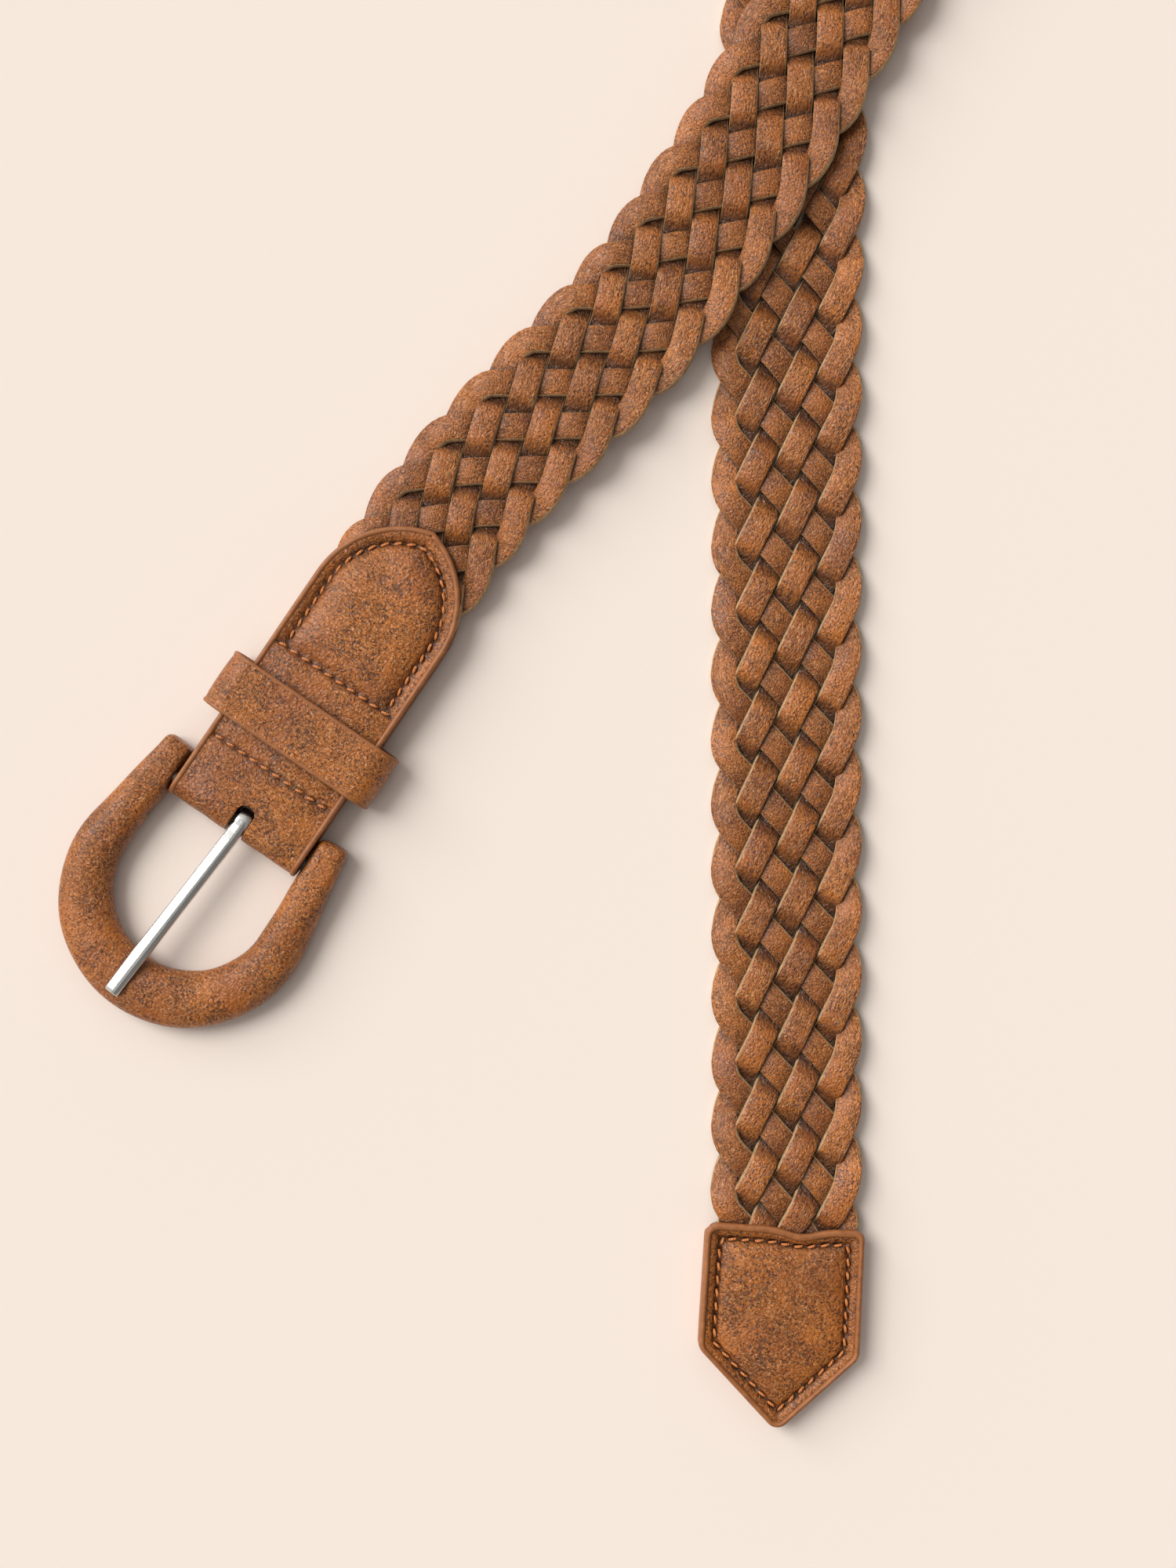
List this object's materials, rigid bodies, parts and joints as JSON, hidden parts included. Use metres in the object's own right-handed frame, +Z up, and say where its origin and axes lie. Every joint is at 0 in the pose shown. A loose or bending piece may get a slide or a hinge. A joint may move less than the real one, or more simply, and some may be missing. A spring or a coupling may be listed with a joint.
{
  "type": "braided leather belt",
  "caption": "Tan flat-braided leather belt with a leather-covered horseshoe buckle, a steel prong, a sliding keeper and a pointed stitched tip, laid in a loop on a table.",
  "frame": {"origin": "middle of the tab's flat back face, the stitched leather tab that holds the buckle", "axes": "+X along the buckle's bar, +Y along the tab away from the buckle, +Z up from the table through the tab's front face"},
  "size_m": [0.2752, 0.4774, 0.0348],
  "materials": {
    "tan_leather": "mottled antiqued tan with a fine crinkled grain, satin",
    "braid_leather": "mottled tan strands with raw brown edges, satin",
    "edge_paint": "smooth lighter brown edge paint, satin",
    "thread": "waxed tan polyester thread",
    "padding": "felt",
    "prong_steel": "polished nickel-plated steel with fine wear",
    "core_steel": "plain steel"
  },
  "bodies": {
    "strap": {"tab_leather": "tan_leather", "tab_edge": "edge_paint", "tab_padding": "padding", "tab_stitches_lower": "thread", "tab_stitches_upper": "thread", "tab_stitches_arch": "thread", "strand_1": "braid_leather", "strand_2": "braid_leather", "strand_3": "braid_leather", "strand_4": "braid_leather", "strand_5": "braid_leather", "strand_6": "braid_leather", "strand_7": "braid_leather", "tip_back": "tan_leather", "tip_front": "tan_leather", "tip_padding": "padding", "tip_edge": "edge_paint", "tip_stitches": "thread"},
    "buckle": {"buckle_frame": "core_steel", "buckle_cover": "tan_leather"},
    "prong": {"prong": "prong_steel"},
    "keeper": {"keeper": "tan_leather"}
  },
  "joints": [
    {"name": "buckle_hinge", "type": "hinge", "parent": "strap", "child": "buckle", "pos_m": [0, -0.04, 0.0038], "axis": [-1, 0, 0], "range_deg": [-75, 20]},
    {"name": "prong_hinge", "type": "hinge", "parent": "buckle", "child": "prong", "pos_m": [0, -0.04, 0.0038], "axis": [-1, 0, 0], "range_deg": [0, 88]},
    {"name": "keeper_slide", "type": "slide", "parent": "strap", "child": "keeper", "axis": [0, 1, 0], "range_m": [-0.009, 0.035]}
  ]
}
